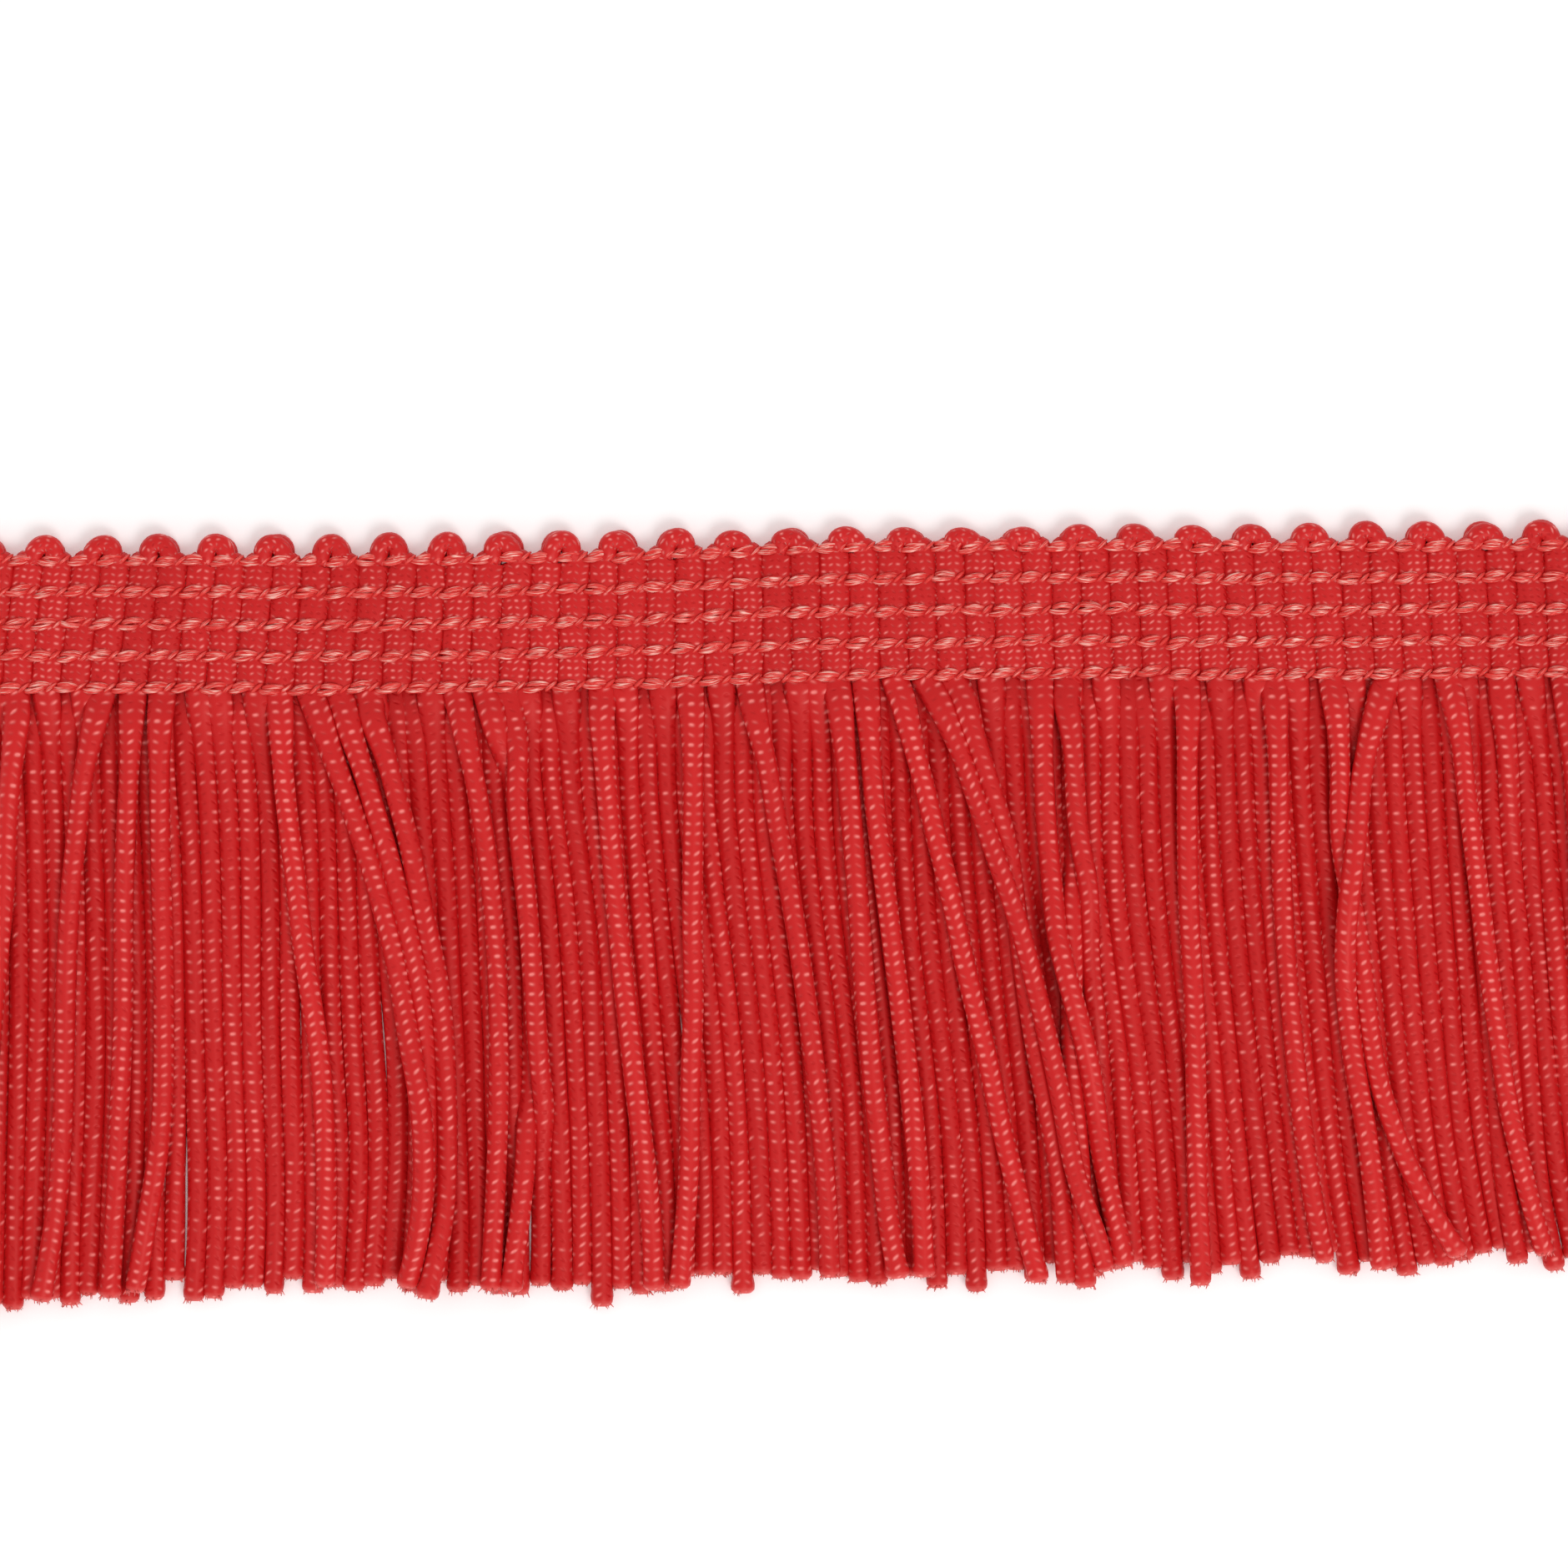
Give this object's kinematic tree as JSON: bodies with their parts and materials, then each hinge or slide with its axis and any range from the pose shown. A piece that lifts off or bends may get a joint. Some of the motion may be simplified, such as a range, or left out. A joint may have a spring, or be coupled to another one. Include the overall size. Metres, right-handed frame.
{
  "type": "chainette fringe trim",
  "caption": "Cut length of chainette fringe trim lying flat: crocheted heading with a looped top edge and a skirt of cut knitted cords.",
  "frame": {"origin": "middle of the heading's flat back, under the middle chain row, halfway along the trim", "axes": "+X along the trim, +Y across it towards the looped edge, +Z out of its face"},
  "size_m": [0.1189, 0.0521, 0.0021],
  "materials": {
    "heading_yarn": "bright red multifilament chain stitch, satin",
    "fringe_cord": "bright red knitted chainette cord, satin"
  },
  "bodies": {
    "root": {"heading": "heading_yarn", "fringe": "fringe_cord"}
  },
  "joints": []
}
